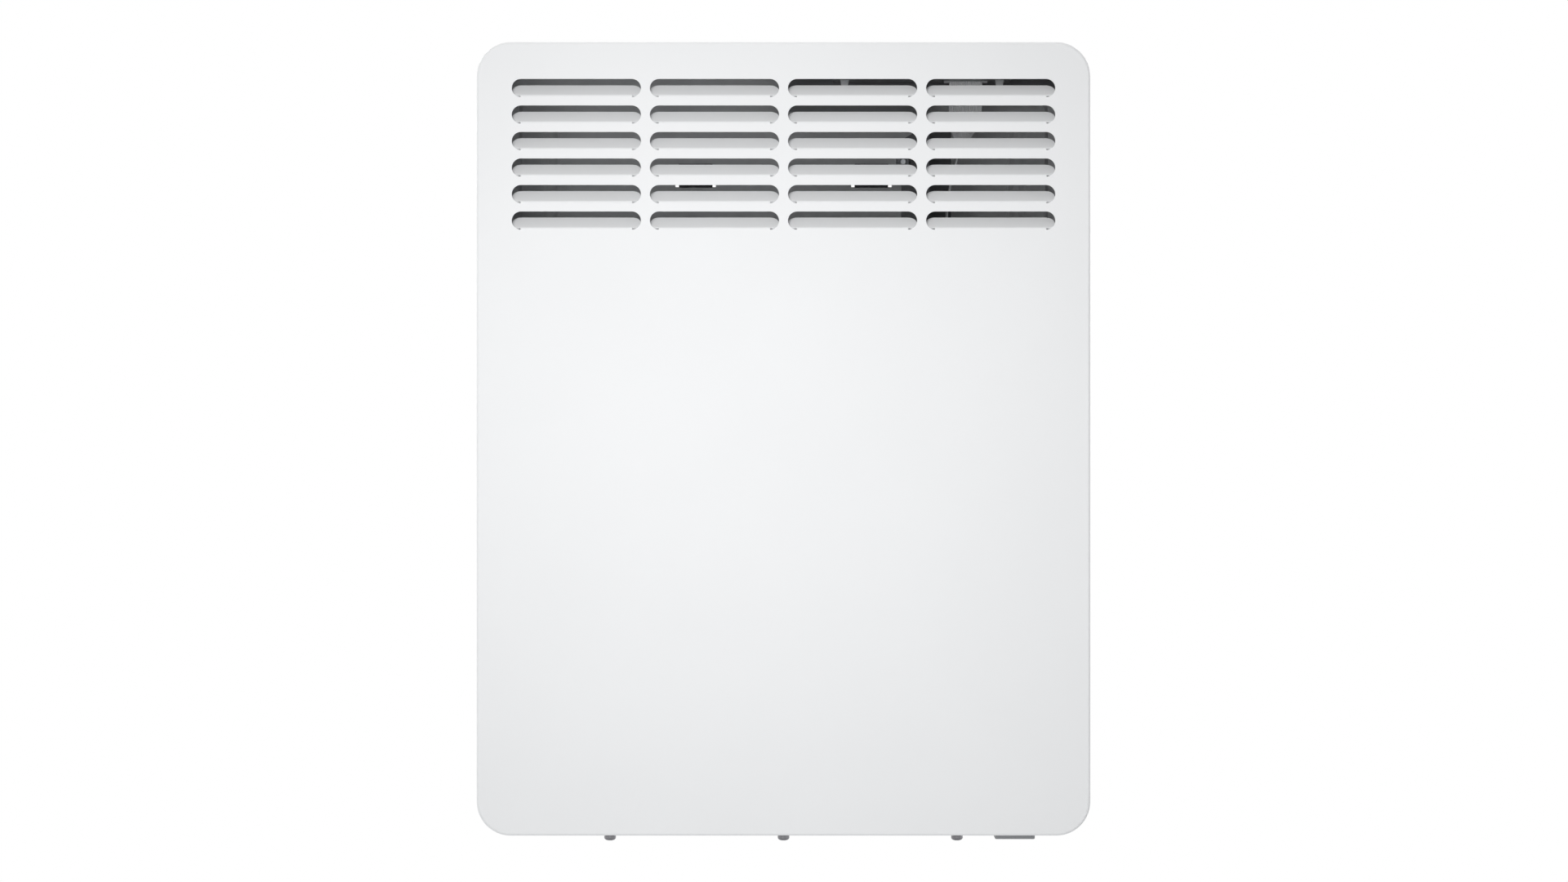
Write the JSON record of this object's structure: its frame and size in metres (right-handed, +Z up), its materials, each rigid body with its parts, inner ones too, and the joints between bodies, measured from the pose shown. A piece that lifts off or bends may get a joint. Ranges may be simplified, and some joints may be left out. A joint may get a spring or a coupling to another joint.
{
  "type": "wall panel convector heater",
  "caption": "Slim wall-hung electric panel convector heater: pressed steel casing with bent louvres, finned element, control unit, switch and hook-on wall bracket.",
  "frame": {"origin": "centre of the wall bracket's upper rail, on the wall plane behind the heater", "axes": "+Z up along the casing's longest side, +Y into the wall, so the louvred front faces -Y and +X is to the right seen from the room"},
  "size_m": [0.348, 0.1, 0.4579],
  "materials": {
    "white_powder_coat": "fine textured white powder coat",
    "rear_sheet": "grey coated sheet steel",
    "bracket_steel": "black coated sheet steel",
    "element_aluminium": "extruded aluminium",
    "sheath_steel": "stainless sheath",
    "dark_screw_steel": "dark zinc plated steel",
    "zinc_steel": "zinc plated steel",
    "black_sheet": "matt black coated sheet steel",
    "grey_plastic": "moulded light grey plastic",
    "white_plastic": "moulded white plastic",
    "black_plastic": "moulded black plastic",
    "circuit_board": "glass epoxy laminate with solder mask",
    "display_lens": "smoked clear plastic",
    "silicone": "red-brown silicone rubber",
    "brown_insulation": "brown cable insulation",
    "blue_insulation": "blue cable insulation",
    "green_insulation": "green and yellow cable insulation",
    "grey_insulation": "grey cable insulation"
  },
  "bodies": {
    "bracket": {"wall_bracket": "bracket_steel"},
    "heater": {"front_cover": "white_powder_coat", "rear_panel": "rear_sheet", "cover_screw_left": "dark_screw_steel", "cover_screw_middle": "dark_screw_steel", "cover_screw_right": "dark_screw_steel", "mains_switch_body": "grey_plastic", "heating_element": "element_aluminium", "heating_rod": "sheath_steel", "element_support_left": "zinc_steel", "element_support_right": "zinc_steel", "support_bush_left": "silicone", "support_bush_right": "silicone", "rod_boot_left": "silicone", "rod_boot_right": "silicone", "support_rivet_left": "zinc_steel", "support_rivet_right": "zinc_steel", "electronics_carrier": "black_sheet", "carrier_nut_upper": "zinc_steel", "carrier_nut_lower": "zinc_steel", "power_board": "circuit_board", "relay": "black_plastic", "transformer": "rear_sheet", "filter_capacitor": "black_plastic", "triac_heat_sink": "element_aluminium", "board_terminals": "grey_plastic", "board_header": "white_plastic", "wire_grommet": "silicone", "overheat_cutout": "black_plastic", "control_housing": "grey_plastic", "control_board": "circuit_board", "control_header": "grey_plastic", "control_fascia": "white_plastic", "display_lens": "display_lens", "display_module": "black_plastic", "key_standby_switch": "black_plastic", "key_mode_switch": "black_plastic", "key_down_switch": "black_plastic", "key_up_switch": "black_plastic", "ribbon_cable": "grey_insulation", "cable_gland": "black_plastic", "terminal_block": "white_plastic", "earth_nut": "zinc_steel", "sensor_holder": "white_plastic", "room_sensor": "black_plastic", "live_lead": "brown_insulation", "switched_live_lead": "brown_insulation", "neutral_lead": "blue_insulation", "earth_lead": "green_insulation", "element_feed_lead": "silicone", "element_cutout_lead": "silicone", "element_return_lead": "silicone", "sensor_lead": "grey_insulation"},
    "rocker": {"mains_rocker": "black_plastic"},
    "standby_key": {"key_standby": "white_plastic"},
    "mode_key": {"key_mode": "white_plastic"},
    "down_key": {"key_down": "white_plastic"},
    "up_key": {"key_up": "white_plastic"}
  },
  "joints": [
    {"name": "heater_lift", "type": "slide", "parent": "bracket", "child": "heater", "axis": [0, 0, 1], "range_m": [0, 0.007]},
    {"name": "mains_rocker_tip", "type": "hinge", "parent": "heater", "child": "rocker", "pos_m": [0.1322, -0.067, -0.3556], "axis": [-1, 0, 0], "range_deg": [0, 16]},
    {"name": "standby_key_press", "type": "slide", "parent": "heater", "child": "standby_key", "axis": [0, 0, -1], "range_m": [0, 0.0008], "stiffness_N_per_m": 400, "springref_m": -0.001},
    {"name": "mode_key_press", "type": "slide", "parent": "heater", "child": "mode_key", "axis": [0, 0, -1], "range_m": [0, 0.0008], "stiffness_N_per_m": 400, "springref_m": -0.001},
    {"name": "down_key_press", "type": "slide", "parent": "heater", "child": "down_key", "axis": [0, 0, -1], "range_m": [0, 0.0008], "stiffness_N_per_m": 400, "springref_m": -0.001},
    {"name": "up_key_press", "type": "slide", "parent": "heater", "child": "up_key", "axis": [0, 0, -1], "range_m": [0, 0.0008], "stiffness_N_per_m": 400, "springref_m": -0.001}
  ]
}
